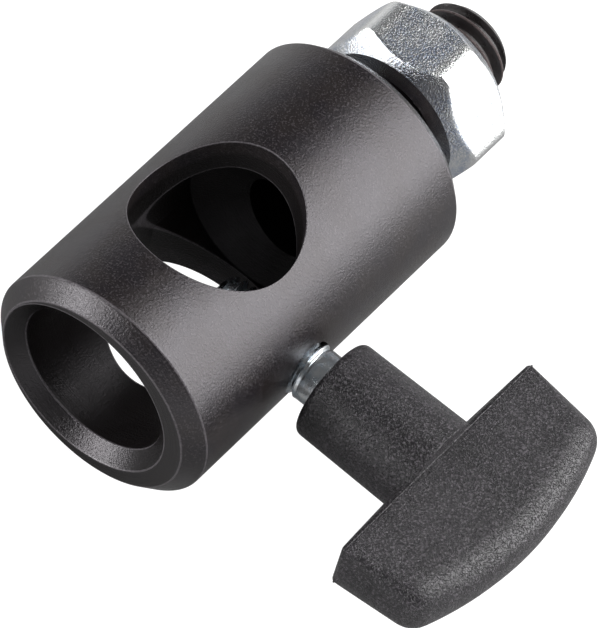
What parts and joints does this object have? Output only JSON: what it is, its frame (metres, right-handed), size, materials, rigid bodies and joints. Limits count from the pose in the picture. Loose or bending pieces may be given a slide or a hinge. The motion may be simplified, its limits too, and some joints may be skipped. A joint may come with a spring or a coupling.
{
  "type": "spigot adapter with clamp screw",
  "caption": "Round clamp adapter with a blind socket, a cross bore, a T-handled clamp screw and a threaded stud with a hexagonal lock nut.",
  "frame": {"origin": "the point where the axes of the blind socket and the cross bore meet; the clamp screw's axis passes 0.3 mm from it towards the mouth", "axes": "-Y out of the socket's mouth and +Y along the threaded stud, +Z along the cross bore, +X along the clamp screw towards its knob; at rest the knob's bar lies along Y"},
  "size_m": [0.0524, 0.0576, 0.025],
  "materials": {
    "anodised_body": "hard anodised, near black, fine grained",
    "black_oxide_steel": "black oxide, lightly oiled",
    "zinc_nut": "zinc plated",
    "zinc_screw": "bright zinc plated",
    "knob_plastic": "moulded, leathery texture"
  },
  "bodies": {
    "adapter": {"body": "anodised_body", "stud": "black_oxide_steel"},
    "screw": {"clamp_screw": "zinc_screw"},
    "knob": {"t_knob": "knob_plastic"},
    "nut_core": {"nut_thread": "zinc_nut"},
    "nut": {"lock_nut": "zinc_nut"}
  },
  "joints": [
    {"name": "screw_travel", "type": "slide", "parent": "adapter", "child": "screw", "axis": [1, 0, 0], "range_m": [-0.00251, 0.00801]},
    {"name": "knob_turn", "type": "hinge", "parent": "screw", "child": "knob", "pos_m": [0.0163, -0.0003, 0], "axis": [1, 0, 0], "range_deg": [-900, 2880]},
    {"name": "nut_travel", "type": "slide", "parent": "adapter", "child": "nut_core", "axis": [0, 1, 0], "range_m": [-0.00406, 0.00451]},
    {"name": "nut_turn", "type": "hinge", "parent": "nut_core", "child": "nut", "pos_m": [0.001, 0.0312, 0], "axis": [0, 1, 0], "range_deg": [-972, 1080]}
  ],
  "couplings": [
    {"joint": "screw_travel", "follows": "knob_turn", "m_per_rad": 0.00015915},
    {"joint": "nut_travel", "follows": "nut_turn", "m_per_rad": 0.00023873}
  ]
}
